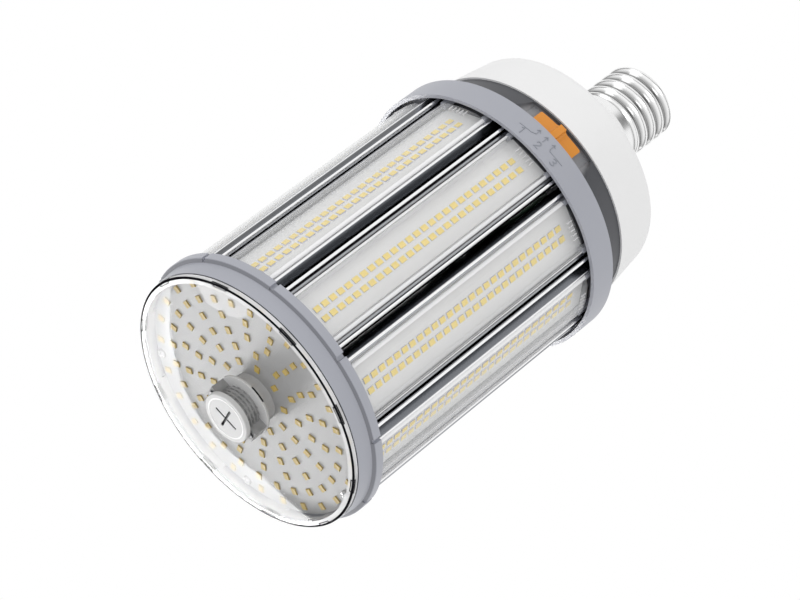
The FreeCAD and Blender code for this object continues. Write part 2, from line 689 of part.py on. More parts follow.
def heat_sink(angle):
    """One extruded slat: cover grooves and lips outside, fins and a screw channel inside."""
    foot_outer = LIP_OUTER_X - (KNEE_Y - SIDE_FOOT_Y) * SLAT_SLOPE
    top_inner = LIP_OUTER_X - SIDE_WALL - WEB_KNEE * SLAT_SLOPE
    lip_inner = LIP_OUTER_X - LIP_WALL
    half = [
        (CHANNEL_WIDTH / 2, UNDER_Y),
        (CHANNEL_WIDTH / 2, CHANNEL_FOOT_Y),
        (CHANNEL_WIDTH / 2 + CHANNEL_WALL, CHANNEL_FOOT_Y),
        (CHANNEL_WIDTH / 2 + CHANNEL_WALL, UNDER_Y),
        (FIN_X - FIN_WALL / 2, UNDER_Y),
        (FIN_X - FIN_WALL / 2, FIN_FOOT_Y),
        (FIN_X + FIN_WALL / 2, FIN_FOOT_Y),
        (FIN_X + FIN_WALL / 2, UNDER_Y),
        (top_inner, UNDER_Y),
        (foot_outer - SIDE_WALL, SIDE_FOOT_Y),
        (foot_outer, SIDE_FOOT_Y),
        (LIP_OUTER_X, KNEE_Y),
        (LIP_OUTER_X, LIP_TOP_Y - LIP_CHAMFER),
        (LIP_OUTER_X - LIP_CHAMFER, LIP_TOP_Y),
        (lip_inner + LIP_CHAMFER, LIP_TOP_Y),
        (lip_inner, LIP_TOP_Y - LIP_CHAMFER),
        (lip_inner, SEAT_Y),
        (RIB_X + RIB_WALL, SEAT_Y),
        (RIB_X + RIB_WALL, RIB_TOP_Y),
        (RIB_X, RIB_TOP_Y),
        (RIB_X - SLOT_REACH, HOOK_UNDER_Y + SLOT_LIP),
        (RIB_X - SLOT_REACH, HOOK_UNDER_Y),
        (RIB_X, HOOK_UNDER_Y),
        (RIB_X, SEAT_Y),
    ]
    return at_angle(prism(mirrored(half), SLAT_FOOT, SLAT_TOP), angle - 90)


def light_strip(angle):
    """A light board with two rows of chips."""
    half = STRIP_WIDTH / 2
    low = SLAT_FOOT + STRIP_MARGIN
    board_y = (SEAT_Y, SEAT_Y + STRIP_THICKNESS)
    board = block((-half, half), board_y, (low, SLAT_TOP - STRIP_MARGIN))
    solids = [board]
    chip_y = (board_y[1], board_y[1] + CHIP_HEIGHT)
    for row in (-CHIP_ROW_X, CHIP_ROW_X):
        for i in range(ROW_CHIP_COUNT):
            middle = SLAT_FOOT + FIRST_CHIP + CHIP_PITCH * i
            chip_x = (row - CHIP_WIDTH / 2, row + CHIP_WIDTH / 2)
            chip_z = (middle - CHIP_LENGTH / 2, middle + CHIP_LENGTH / 2)
            solids.append(block(chip_x, chip_y, chip_z))
    return at_angle(Part.makeCompound(solids), angle - 90)


def cover_arc(half_width, shoulder_y, crown_y, radius, z):
    """The crown and both shoulders of a cover, from right to left."""
    side = shoulder_y - radius
    flat = half_width - radius
    mid = radius * math.sqrt(0.5)
    right = Part.Arc(
        Vector(half_width, side, z),
        Vector(flat + mid, side + mid, z),
        Vector(flat, shoulder_y, z),
    )
    crown = Part.Arc(
        Vector(flat, shoulder_y, z),
        Vector(0, crown_y, z),
        Vector(-flat, shoulder_y, z),
    )
    left = Part.Arc(
        Vector(-flat, shoulder_y, z),
        Vector(-flat - mid, side + mid, z),
        Vector(-half_width, side, z),
    )
    return [right.toShape(), crown.toShape(), left.toShape()]


def slat_cover(angle):
    """A clear bowed cover whose feet slide under the slat's hooks."""
    low = SLAT_FOOT + COVER_START
    wide = COVER_HALF_WIDTH
    narrow = wide - COVER_WALL
    outer = cover_arc(wide, COVER_SHOULDER_Y, COVER_CROWN_Y, COVER_SHOULDER, low)
    inner = cover_arc(
        narrow,
        COVER_SHOULDER_Y - COVER_WALL,
        COVER_CROWN_Y - COVER_WALL,
        COVER_SHOULDER * 0.6,
        low,
    )
    foot_top = SEAT_Y + COVER_FOOT_HEIGHT
    edges = outer + inner
    for side in (1, -1):
        outer_side = COVER_SHOULDER_Y - COVER_SHOULDER
        inner_side = COVER_SHOULDER_Y - COVER_WALL - COVER_SHOULDER * 0.6
        corners = [
            Vector(side * wide, outer_side, low),
            Vector(side * wide, foot_top, low),
            Vector(side * (wide + COVER_FOOT), foot_top, low),
            Vector(side * (wide + COVER_FOOT), SEAT_Y, low),
            Vector(side * narrow, SEAT_Y, low),
            Vector(side * narrow, inner_side, low),
        ]
        edges += [Part.makeLine(a, b) for a, b in zip(corners, corners[1:])]
    face = Part.Face(Part.Wire(Part.__sortEdges__(edges)))
    cover = face.extrude(Vector(0, 0, SLAT_TOP - STRIP_MARGIN - low))
    return at_angle(cover, angle - 90)


# Front frame, board and lens


def front_frame():
    """A grey dish: floor, outer band, and a stepped rim of ten pads between notches."""
    body = lathe([
        (CABLE_HOLE, SLAT_TOP),
        (SKIRT_BORE_RADIUS, SLAT_TOP),
        (SKIRT_BORE_RADIUS, SLAT_TOP - PAD_DEPTH),
        (PAD_RADIUS, SLAT_TOP - PAD_DEPTH),
        (PAD_RADIUS, SLAT_TOP + FRAME_BAND_FOOT - PAD_CHAMFER),
        (FRAME_BAND_RADIUS, SLAT_TOP + FRAME_BAND_FOOT),
        (FRAME_TOP_RADIUS, FRAME_TOP),
        (FRAME_BORE_RADIUS, FRAME_TOP),
        (FRAME_BORE_RADIUS, FLOOR_TOP),
        (CABLE_HOLE, FLOOR_TOP),
    ])
    notch = block(
        (PAD_RADIUS - NOTCH_DEPTH, PAD_RADIUS + 2),
        (-NOTCH_WIDTH / 2, NOTCH_WIDTH / 2),
        (SLAT_TOP - PAD_DEPTH - 1, SLAT_TOP + FRAME_BAND_FOOT),
    )
    for cutter in around(notch, [angle + SLAT_ANGLE / 2 for angle in SLAT_ANGLES]):
        body = body.cut(cutter)
    clip_radius = FRAME_BORE_RADIUS + HOOK_RISE
    hook_low = FRAME_TOP - CLIP_DEPTH - SLIDE_GAP
    hook_high = FRAME_TOP - CLIP_DEPTH + HOOK_LENGTH + SLIDE_GAP
    half = CLIP_HALF_ANGLE + 0.4
    window = sector(FRAME_BORE_RADIUS - 1, clip_radius, hook_low, hook_high, 0, half)
    for cutter in around(window, SLAT_ANGLES):
        body = body.cut(cutter)
    for x, y in board_screw_places():
        body = body.cut(cylinder(SCREW_RADIUS, FLOOR_TOP - FRAME_FLOOR + 0.6, FLOOR_TOP + 1, x, y))
    peg = block(
        (-CHANNEL_WIDTH / 2 + 0.05, CHANNEL_WIDTH / 2 - 0.05),
        (SCREW_Y - 2, SCREW_Y + 2),
        (SLAT_TOP - SCREW_BITE, SLAT_TOP + 0.5),
    )
    return fuse(body, around(peg, [angle - 90 for angle in SLAT_ANGLES]))


def board_screw_places():
    """Where the front board's screws stand."""
    step = 360.0 / BOARD_SCREW_COUNT
    return [polar(BOARD_SCREW_CIRCLE, step / 2 + step * i) for i in range(BOARD_SCREW_COUNT)]


def front_board():
    board = tube(FRONT_BOARD_HOLE, FRONT_BOARD_RADIUS, FLOOR_TOP, CHIP_BASE)
    for x, y in board_screw_places():
        hole = cylinder(SCREW_RADIUS + SCREW_CLEARANCE, FLOOR_TOP - 1, CHIP_BASE + 1, x, y)
        board = board.cut(hole)
    return board


def front_chips():
    """Rings of chips, each turned to face the centre."""
    solids = []
    places = []
    for radius, count, first in zip(FRONT_RING_RADII, FRONT_RING_COUNTS, FRONT_RING_ANGLES):
        places += [(radius, first + 360.0 / count * i) for i in range(count)]
    for group in range(OUTER_GROUP_COUNT):
        middle = 360.0 / OUTER_GROUP_COUNT * group
        for i in range(OUTER_CHIP_COUNT):
            offset = (i - (OUTER_CHIP_COUNT - 1) / 2) * OUTER_CHIP_ANGLE
            places.append((OUTER_RING_RADIUS, middle + offset))
    for radius, angle in places:
        chip = block(
            (radius - CHIP_LENGTH / 2, radius + CHIP_LENGTH / 2),
            (-CHIP_WIDTH / 2, CHIP_WIDTH / 2),
            (CHIP_BASE, CHIP_BASE + CHIP_HEIGHT),
        )
        solids.append(at_angle(chip, angle))
    return Part.makeCompound(solids)


def board_screws():
    """Round-headed screws with a cross in the head."""
    screws = []
    head_top = CHIP_BASE + SCREW_HEAD_HEIGHT
    for x, y in board_screw_places():
        head = cylinder(SCREW_HEAD_RADIUS, CHIP_BASE, head_top, x, y)
        shank = cylinder(SCREW_RADIUS, FLOOR_TOP - FRAME_FLOOR + 1, CHIP_BASE + 0.5, x, y)
        screws.append(fuse(head, [shank]))
    return Part.makeCompound(screws)


def front_lens():
    """A clear disc with a short skirt and ten snap clips, open in the middle for the port."""
    skirt = FRAME_BORE_RADIUS - LENS_SKIRT_GAP
    skirt_foot = FRAME_TOP - LENS_SKIRT_DEPTH
    body = lathe([
        (LENS_HOLE_RADIUS, FRAME_TOP),
        (skirt - LENS_SKIRT_WALL, FRAME_TOP),
        (skirt - LENS_SKIRT_WALL, skirt_foot),
        (skirt, skirt_foot),
        (skirt, FRAME_TOP),
        (LENS_RADIUS, FRAME_TOP),
        (LENS_RADIUS, LENS_TOP),
        (LENS_HOLE_RADIUS, LENS_TOP),
    ])
    tab_foot = FRAME_TOP - CLIP_DEPTH
    tab = sector(skirt - LENS_SKIRT_WALL, skirt, tab_foot, skirt_foot + 0.5, 0, CLIP_HALF_ANGLE)
    hook = sector(
        skirt - 0.5,
        FRAME_BORE_RADIUS + HOOK_RISE - SLIDE_GAP,
        tab_foot,
        tab_foot + HOOK_LENGTH,
        0,
        CLIP_HALF_ANGLE,
    )
    clips = around(tab.fuse(hook), SLAT_ANGLES)
    return fuse(body, clips)


# Sensor port


def port_base():
    """A ribbed tower with a flange, a tail to the board and two screw ears."""
    flange_top = LENS_TOP + PORT_FLANGE
    tower = cylinder(PORT_RADIUS - PORT_RIB, flange_top - 0.5, PORT_TOP)
    flange = cylinder(PORT_FLANGE_RADIUS, LENS_TOP, flange_top)
    tail = cylinder(PORT_TAIL_RADIUS, CHIP_BASE, LENS_TOP + 0.5)
    ear = block(
        (0, PORT_RADIUS + EAR_REACH),
        (-EAR_WIDTH / 2, EAR_WIDTH / 2),
        (flange_top - 0.5, flange_top + EAR_HEIGHT),
    )
    rib = block(
        (PORT_RADIUS - 2 * PORT_RIB, PORT_RADIUS),
        (-PORT_RIB, PORT_RIB),
        (flange_top - 0.5, PORT_TOP),
    )
    ribs = around(rib, [360.0 / PORT_RIB_COUNT * i for i in range(PORT_RIB_COUNT)])
    body = fuse(tower, [flange, tail, ear, at_angle(ear, 180)] + ribs)
    body = body.cut(cylinder(PORT_BORE, CHIP_BASE - 1, PORT_TOP + 1))
    for x in (-EAR_SCREW_X, EAR_SCREW_X):
        hole = cylinder(SCREW_RADIUS, flange_top + 2, flange_top + EAR_HEIGHT + 1, x, 0)
        body = body.cut(hole)
    return body


def port_screws():
    screws = []
    top = LENS_TOP + PORT_FLANGE + EAR_HEIGHT
    for x in (-EAR_SCREW_X, EAR_SCREW_X):
        head = cylinder(EAR_SCREW_RADIUS, top, top + SCREW_HEAD_HEIGHT * 0.5, x, 0)
        shank = cylinder(SCREW_RADIUS, top - EAR_HEIGHT + 3, top + 0.2, x, 0)
        screws.append(fuse(head, [shank]))
    return Part.makeCompound(screws)


def port_socket():
    """The sensor's socket at the bottom of the port, with a hole for each of its pins."""
    top = CHIP_BASE + SOCKET_HEIGHT
    body = cylinder(SOCKET_RADIUS, CHIP_BASE, top)
    step = 360.0 / SOCKET_PIN_COUNT
    for i in range(SOCKET_PIN_COUNT):
        x, y = polar(SOCKET_PIN_CIRCLE, step / 2 + step * i)
        body = body.cut(cylinder(SOCKET_PIN_RADIUS, top - SOCKET_PIN_DEPTH, top + 1, x, y))
    return body


def port_seal():
    """The rubber ring under the cap's head."""
    return tube(SEAL_RADIUS - SEAL_WALL, SEAL_RADIUS, PORT_TOP, CAP_FOOT)


def port_cap():
    """A screw cap with a cross slot in its head; its stem is the core of its thread."""
    top = CAP_FOOT + CAP_HEAD
    stem = PORT_BORE - CAP_FIT - CAP_THREAD_DEPTH
    cap = lathe([
        (0, CAP_FOOT - CAP_STEM),
        (stem, CAP_FOOT - CAP_STEM),
        (stem, CAP_FOOT),
        (CAP_RADIUS, CAP_FOOT),
        (CAP_RADIUS, top - CAP_EDGE),
        (CAP_RADIUS - CAP_EDGE, top),
        (0, top),
    ])
    arm = block(
        (-CAP_SLOT_LENGTH / 2, CAP_SLOT_LENGTH / 2),
        (-CAP_SLOT_WIDTH / 2, CAP_SLOT_WIDTH / 2),
        (top - CAP_SLOT_DEPTH, top + 1),
    )
    return cap.cut(arm).cut(at_angle(arm, 90))


# Every piece, under the name of its file


def pieces():
    made = {
        "contact_tip": contact_tip(),
        "base_insulator": base_insulator(),
        "screw_shell": screw_shell(),
        "base_housing": base_housing(),
        "switch_band": switch_band(),
        "power_slider": power_slider(),
        "slide_switch": slide_switch(),
        "switch_knob": switch_knob(),
        "driver_board": driver_board(),
        "driver_transformer": driver_transformer(),
        "driver_capacitors": driver_capacitors(),
        "driver_choke": driver_choke(),
        "driver_parts": driver_parts(),
        "collar": collar(),
        "slat_screws": slat_screws(),
        "front_frame": front_frame(),
        "front_board": front_board(),
        "front_chips": front_chips(),
        "board_screws": board_screws(),
        "front_lens": front_lens(),
        "port_base": port_base(),
        "port_screws": port_screws(),
        "port_socket": port_socket(),
        "port_seal": port_seal(),
        "port_cap": port_cap(),
    }
    for i, angle in enumerate(SLAT_ANGLES):
        made[f"heat_sink_{i + 1:02d}"] = heat_sink(angle)
        made[f"light_strip_{i + 1:02d}"] = light_strip(angle)
        made[f"slat_cover_{i + 1:02d}"] = slat_cover(angle)
    return made


os.makedirs("parts", exist_ok=True)
for name, shape in pieces().items():
    shape.exportStep(f"parts/{name}.step")
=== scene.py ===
"""A corn lamp with clear-covered light slats, dressed for a studio picture."""

import math

import bpy
from mathutils import Euler, Matrix, Vector

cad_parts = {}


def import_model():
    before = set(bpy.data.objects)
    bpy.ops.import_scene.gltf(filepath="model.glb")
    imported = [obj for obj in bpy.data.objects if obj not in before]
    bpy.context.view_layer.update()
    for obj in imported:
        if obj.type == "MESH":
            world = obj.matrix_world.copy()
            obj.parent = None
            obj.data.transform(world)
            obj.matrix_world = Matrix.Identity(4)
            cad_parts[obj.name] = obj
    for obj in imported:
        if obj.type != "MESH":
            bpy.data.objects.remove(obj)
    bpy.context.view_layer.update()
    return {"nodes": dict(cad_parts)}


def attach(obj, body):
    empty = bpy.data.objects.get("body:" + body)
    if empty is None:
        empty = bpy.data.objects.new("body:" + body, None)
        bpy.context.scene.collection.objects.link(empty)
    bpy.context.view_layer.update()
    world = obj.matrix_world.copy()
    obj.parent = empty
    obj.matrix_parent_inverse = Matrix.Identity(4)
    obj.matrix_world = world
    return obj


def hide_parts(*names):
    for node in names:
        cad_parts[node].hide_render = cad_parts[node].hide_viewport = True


MM = 0.001

# Heights up the lamp's axis, in millimetres from the bottom of its centre contact
SHELL_FOOT = 7.7
SHELL_TOP = 43.2
SLAT_FOOT = 116.44
STRIP_FOOT = 124.8
COVER_FOOT = 128.34
STRIP_TOP = 273.8
SLAT_TOP = 275.0
CHIP_BASE = 280.4
FRAME_TOP = 284.2
LENS_TOP = 287.0
CAP_TOP = 299.0

LENS_RADIUS = 65.0
COLLAR_RADIUS = 68.3

# The light strips' seat and face, out from the axis along the middle of a slat
SEAT_Y = 58.4
STRIP_Y = 59.4
CHIP_HEIGHT = 0.75

SLAT_COUNT = 10
SLAT_STEP = 360.0 / SLAT_COUNT
SLAT_ANGLES = [270.0 + SLAT_STEP * i for i in range(SLAT_COUNT)]

# The photograph's camera, from a pinhole fit
CAMERA_PLACE = (-212.282, -1167.077, 955.799)
CAMERA_TURN = (-43.41628, 41.65781, -154.95511)
CAMERA_LENS = 139.08


# Shaders

# Depth of the grain of moulded plastic, in millimetres
MOULD_GRAIN = 0.004


class Reading:
    """A value that changes over a surface; sums of readings add Math nodes."""

    def __init__(self, finish, socket):
        self.finish = finish
        self.socket = socket

    def _sum(self, operation, first, second):
        return self.finish.add("ShaderNodeMath", {"operation": operation}, first, second)

    def __add__(self, other):
        return self._sum("ADD", self, other)

    def __radd__(self, other):
        return self._sum("ADD", other, self)

    def __sub__(self, other):
        return self._sum("SUBTRACT", self, other)

    def __rsub__(self, other):
        return self._sum("SUBTRACT", other, self)

    def __mul__(self, other):
        return self._sum("MULTIPLY", self, other)

    def __rmul__(self, other):
        return self._sum("MULTIPLY", other, self)

    def __pow__(self, power):
        return self._sum("POWER", self, power)

    def __abs__(self):
        return self.finish.add("ShaderNodeMath", {"operation": "ABSOLUTE"}, self)

    def ramp(self, low, high, to_low=0.0, to_high=1.0):
        """The reading moved from one range to another, held at both ends."""
        settings = {"clamp": True, "interpolation_type": "SMOOTHSTEP"}
        return self.finish.add("ShaderNodeMapRange", settings, self, low, high, to_low, to_high)


class Nodes:
    """A node tree with one way to add a node."""

    def __init__(self, tree):
        self.tree = tree

    def add(self, kind, settings, *values, output=0, **named):
        node = self.tree.nodes.new(kind)
        for label, value in settings.items():
            setattr(node, label, value)
        for place, value in enumerate(values):
            self.feed(node.inputs[place], value)
        for label, value in named.items():
            self.feed(node.inputs[label.replace("_", " ")], value)
        return Reading(self, node.outputs[output])

    def feed(self, socket, value):
        if isinstance(value, Reading):
            self.tree.links.new(value.socket, socket)
        else:
            socket.default_value = value


class Finish(Nodes):
    """A material whose constants sit on the shader and whose readings feed it."""

    def __init__(self, name, color, roughness=0.5, **constants):
        self.material = bpy.data.materials.new(name)
        self.material.use_nodes = True
        super().__init__(self.material.node_tree)
        self.shader = self.tree.nodes["Principled BSDF"]
        self.color = (*color, 1.0)
        self.put("Base Color", self.color)
        self.put("Roughness", roughness)
        for label, value in constants.items():
            self.put(label.replace("_", " "), value)

    def put(self, label, value):
        self.feed(self.shader.inputs[label], value)

    def place(self, scale=(1.0, 1.0, 1.0)):
        """Where a point lies on the piece, in millimetres, stretched by a scale."""
        spot = self.add("ShaderNodeTexCoord", {}, output="Object")
        size = tuple(1000.0 * s for s in scale)
        return self.add("ShaderNodeVectorMath", {"operation": "MULTIPLY"}, spot, size)

    def along(self, axis):
        """A point's place along one axis of its piece, in millimetres."""
        return self.add("ShaderNodeSeparateXYZ", {}, self.place(), output=axis)

    def radius(self):
        """How far a point lies from the lamp's axis, in millimetres."""
        return (self.along("X") ** 2.0 + self.along("Y") ** 2.0) ** 0.5

    def edge_on(self):
        """0 where a surface faces the eye, rising to 1 where it is seen edge on."""
        return self.add("ShaderNodeLayerWeight", {}, Blend=0.5, output="Facing")

    def noise(self, scale, stretch=(1.0, 1.0, 1.0), detail=2.0):
        """Cloudy noise between 0 and 1, with a scale in waves per millimetre."""
        return self.add(
            "ShaderNodeTexNoise", {}, Vector=self.place(stretch), Scale=scale, Detail=detail
        )

    def blend(self, factor, first, second):
        """One colour turning into another."""
        node = self.tree.nodes.new("ShaderNodeMix")
        node.data_type = "RGBA"
        self.feed(node.inputs[0], factor)
        self.feed(node.inputs[6], first)
        self.feed(node.inputs[7], second)
        return Reading(self, node.outputs[2])

    def bump(self, height, depth):
        """A relief of the height reading, with a depth in millimetres."""
        normal = self.add("ShaderNodeBump", {}, Strength=1.0, Distance=depth * MM, Height=height)
        self.put("Normal", normal)


def plain_moulding(name, color, roughness):
    """Moulded plastic: a faint cloud in its colour and gloss, and a fine grain."""
    finish = Finish(name, color, roughness)
    cloud = finish.noise(0.05, detail=3.0)
    darker = (*[c * 0.97 for c in color], 1.0)
    finish.put("Base Color", finish.blend(cloud, darker, finish.color))
    finish.put("Roughness", cloud * 0.08 + (roughness - 0.04))
    finish.bump(finish.noise(4.0), MOULD_GRAIN)
    return finish.material


def bright_extrusion():
    """Bright aluminium: polished lips, rougher hooks and side walls, a coated floor.

    The hooks and side walls are also written a darker grey, as painted shade. The
    grooves and the end under the collar are written dark, as painted shade. The limits
    follow the walls in slat_outline.
    """
    polished = (0.93, 0.93, 0.94, 1.0)
    finish = Finish("bright_extrusion", polished[:3], 0.07, Metallic=1.0)
    across = abs(finish.along("X"))
    height = finish.along("Y")
    side = across.ramp(17.46, 17.54)
    hook = across.ramp(13.9, 14.1) * across.ramp(15.45, 15.3)
    dull_and_shaded = side + hook
    # Painted shade: the hooks and side walls take a darker grey than the lips
    tone = finish.blend(dull_and_shaded, polished, (0.44, 0.45, 0.47, 1.0))
    # Painted shade: the grooves and the end under the collar are written near black
    groove = across.ramp(13.2, 13.4) * across.ramp(17.3, 17.1) * height.ramp(60.6, 60.2)
    foot = finish.along("Z").ramp(STRIP_FOOT + 0.3, STRIP_FOOT)
    dark = groove + foot - groove * foot
    finish.put("Base Color", finish.blend(dark, tone, (0.10, 0.10, 0.11, 1.0)))
    floor = across.ramp(13.2, 13.0) * height.ramp(58.9, 58.6)
    finish.put("Metallic", 1 - floor * 0.85)
    cloud = finish.noise(0.2, stretch=(1.0, 1.0, 0.05))
    finish.put("Roughness", dull_and_shaded * 0.12 + floor * 0.3 + cloud * 0.02 + 0.05)
    return finish.material


def rolled_nickel():
    """Nickel-plated sheet with a cloud in its gloss; the thread's valleys are written grey, as
    painted shade.
    """
    finish = Finish("rolled_nickel", (0.90, 0.90, 0.90), 0.18, Metallic=1.0)
    cloud = finish.noise(0.4, stretch=(1.0, 1.0, 3.0), detail=4.0)
    radius = finish.radius()
    # Painted shade: the thread's valleys are written grey
    valley_shade = radius.ramp(19.2, 17.9) * finish.along("Z").ramp(37.0, 36.0)
    finish.put("Base Color", finish.blend(valley_shade, finish.color, (0.42, 0.42, 0.42, 1.0)))
    finish.put("Roughness", cloud.ramp(0.3, 0.7, 0.16, 0.24))
    finish.bump(finish.noise(0.8, stretch=(1.0, 1.0, 4.0)), 0.004)
    return finish.material


def clear_moulding(name, color, roughness, face_on, edge, power):
    """Clear plastic: almost unseen face on, and shining where it is seen edge on.

    Its index is above real plastic's, for stronger reflections.
    """
    finish = Finish(name, color, roughness, IOR=2.4)
    flow = finish.noise(0.06, detail=2.0)
    finish.put("Roughness", flow.ramp(0.3, 0.7, roughness, roughness + 0.02))
    finish.put("Alpha", finish.edge_on() ** power * (edge - face_on) + face_on)
    return finish.material


def smoked_port():
    """Translucent grey plastic: a pale flange and foot, and a darker tower above them."""
    finish = Finish("smoked_port", (0.22, 0.22, 0.22), 0.12, Alpha=0.92)
    tower = finish.along("Z").ramp(LENS_TOP + 1.15, LENS_TOP + 1.35)
    depth = finish.noise(0.12, detail=2.0).ramp(0.3, 0.7)
    grey = finish.blend(depth, finish.color, (0.34, 0.34, 0.34, 1.0))
    finish.put("Base Color", finish.blend(tower, (0.78, 0.78, 0.78, 1.0), grey))
    return finish.material


def recessed_band():
    """Dark band, written paler where its pocket is cut below the outer wall, as painted light on
    the pocket's floor.
    """
    finish = Finish("recessed_band", (0.068, 0.07, 0.078), 0.4)
    # Painted light: the pocket's floor is written paler grey
    pocket = finish.radius().ramp(60.7, 58.8)
    cloud = finish.noise(0.05, detail=3.0)
    wall = finish.blend(cloud, finish.color, (0.075, 0.077, 0.085, 1.0))
    finish.put("Base Color", finish.blend(pocket, wall, (0.26, 0.265, 0.28, 1.0)))
    finish.bump(finish.noise(4.0), MOULD_GRAIN)
    return finish.material


def stepped_frame():
    """Grey frame plastic, written darker on the step between its band and its pads, as painted
    shade.
    """
    finish = Finish("stepped_frame", (0.38, 0.39, 0.435), 0.38)
    radius = finish.radius()
    # Painted shade on the step between the band and the pads
    ledge = radius.ramp(65.97, 66.15) * radius.ramp(67.75, 67.5)
    step = ledge * finish.along("Z").ramp(275.3, 275.6)
    cloud = finish.noise(0.05, detail=3.0)
    plain = finish.blend(cloud, (0.37, 0.38, 0.425, 1.0), finish.color)
    finish.put("Base Color", finish.blend(step, plain, (0.20, 0.205, 0.23, 1.0)))
    finish.bump(finish.noise(4.0), MOULD_GRAIN)
    return finish.material


def slotted_cap():
    """White cap, dark in its driver slots as painted shade; the stem and underside come out dark
    too.
    """
    white = (0.56, 0.56, 0.56, 1.0)
    finish = Finish("slotted_cap", white[:3], 0.35, Specular_IOR_Level=0.1)
    # Painted shade in the driver slots
    sunk_shade = finish.along("Z").ramp(CAP_TOP - 0.15, CAP_TOP - 0.45)
    middle = (finish.along("X") ** 2.0 + finish.along("Y") ** 2.0).ramp(9.0 ** 2, 8.6 ** 2)
    finish.put("Base Color", finish.blend(sunk_shade * middle, white, (0.02, 0.02, 0.022, 1.0)))
    finish.bump(finish.noise(3.0), 0.003)
    return finish.material


# Meshes


def make_piece(name, points, faces, material, sharp=35.0, replaces=()):
    """A mesh in millimetres, smooth but for edges sharper than an angle."""
    mesh = bpy.data.meshes.new(name)
    mesh.from_pydata([Vector(p) * MM for p in points], [], faces)
    mesh.validate()
    mesh.shade_smooth()
    mesh.set_sharp_from_angle(angle=math.radians(sharp))
    mesh.materials.append(material)
    piece = place_piece(name, mesh, replaces)
    return piece


def place_piece(name, mesh, replaces=(), angle=0.0):
    """An object of a mesh, turned about the lamp's axis, riding on the lamp's body."""
    piece = bpy.data.objects.new(name, mesh)
    bpy.context.scene.collection.objects.link(piece)
    piece.rotation_euler = (0, 0, math.radians(angle))
    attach(piece, "lamp")
    if replaces:
        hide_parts(*replaces)
    return piece


def polar(radius, angle, z=0.0):
    """A point from its radius, its angle in degrees and its height."""
    turn = math.radians(angle)
    return Vector((radius * math.cos(turn), radius * math.sin(turn), z))


def rounded(corners, radius, steps=4):
    """A closed outline with its corners rounded; a corner may carry its own radius."""
    outline = []
    count = len(corners)
    for i, corner in enumerate(corners):
        own = corner[2] if len(corner) > 2 else radius
        here = Vector(corner[:2])
        back = Vector(corners[i - 1][:2]) - here
        ahead = Vector(corners[(i + 1) % count][:2]) - here
        reach = min(own, back.length * 0.49, ahead.length * 0.49)
        if reach < 0.01:
            outline.append(here)
            continue
        start = here + back.normalized() * reach
        end = here + ahead.normalized() * reach
        for step in range(steps + 1):
            t = step / steps
            outline.append(start * (1 - t) ** 2 + here * 2 * t * (1 - t) + end * t ** 2)
    return outline


def prism(outline, bottom, top, points, faces):
    """A flat outline raised from one height to another, added to the lists."""
    first = len(points)
    count = len(outline)
    points += [(x, y, bottom) for x, y in outline] + [(x, y, top) for x, y in outline]
    for i in range(count):
        j = (i + 1) % count
        faces.append((first + i, first + j, first + count + j, first + count + i))
    faces.append(tuple(first + i for i in reversed(range(count))))
    faces.append(tuple(first + count + i for i in range(count)))


def box(x, y, z, points, faces):
    """A plain box between limits, added to the lists."""
    outline = [(x[0], y[0]), (x[1], y[0]), (x[1], y[1]), (x[0], y[1])]
    prism(outline, z[0], z[1], points, faces)


def lathe(outline, points, faces, steps=128, closed=True):
    """An outline of radius and height turned once about the axis, added to the lists."""
    first = len(points)
    count = len(outline)
    for step in range(steps):
        turn = 2 * math.pi * step / steps
        points += [(r * math.cos(turn), r * math.sin(turn), z) for r, z in outline]
    for step in range(steps):
        a = first + step * count
        b = first + (step + 1) % steps * count
        for i in range(count if closed else count - 1):
            j = (i + 1) % count
            faces.append((a + i, b + i, b + j, a + j))


def sector(bore, radius, z, middle, half, points, faces, steps=8):
    """Part of a ring, half an angle each side of its middle, added to the lists."""
    first = len(points)
    for step in range(steps + 1):
        angle = middle - half + 2 * half * step / steps
        for r, height in ((bore, z[0]), (radius, z[0]), (radius, z[1]), (bore, z[1])):
            points.append(polar(r, angle, height))
    for step in range(steps):
        a = first + 4 * step
        for i in range(4):
            j = (i + 1) % 4
            faces.append((a + i, a + 4 + i, a + 4 + j, a + j))
    faces.append((first + 3, first + 2, first + 1, first))
    last = first + 4 * steps
    faces.append((last, last + 1, last + 2, last + 3))


# Slats


def copy_round(first, name, node):
    """Turns the first piece to the first slat's place, and puts its mesh at the others."""
    first.rotation_euler = (0, 0, math.radians(SLAT_ANGLES[0] - 90))
    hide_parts(f"{node}_01")
    for i in range(1, SLAT_COUNT):
        label = f"{i + 1:02d}"
        place_piece(f"{name}_{label}", first.data, (f"{node}_{label}",), SLAT_ANGLES[i] - 90)


def half_to_whole(half):
    """An outline given for one side, closed with its mirror image."""
    return half + [(-p[0], *p[1:]) for p in reversed(half)]


def slat_outline():
    """The extrusion's section, with x across the slat and y out from the axis."""
    return half_to_whole([
        (1.35, 56.6, 0.0),
        (1.35, 48.5, 0.2),
        (2.55, 48.5, 0.3),
        (2.55, 56.6, 0.3),
        (6.0, 56.6, 0.3),
        (6.0, 46.5, 0.3),
        (7.2, 46.5, 0.3),
        (7.2, 56.6, 0.3),
        (16.02, 56.6, 0.5),
        (11.77, 43.5, 0.3),
        (13.17, 43.5, 0.3),
        (17.55, 57.0, 1.0),
        (17.55, 63.0, 0.35),
        (16.1, 63.0, 0.2),
        (16.1, 58.4, 0.15),
        (15.35, 58.4, 0.15),
        (15.35, 61.1, 0.4),
        (14.1, 61.1, 0.4),
        (14.1, 59.8, 0.1),
        (14.9, 59.8, 0.1),
        (14.9, 58.4, 0.0),
    ])


def make_slats(metal):
    """Ten extrusions between the collar and the front frame."""
    points, faces = [], []
    prism(rounded(slat_outline(), 0.2), SLAT_FOOT, SLAT_TOP, points, faces)
    first = make_piece("slat_01", points, faces, metal)
    copy_round(first, "slat", "heat_sink")


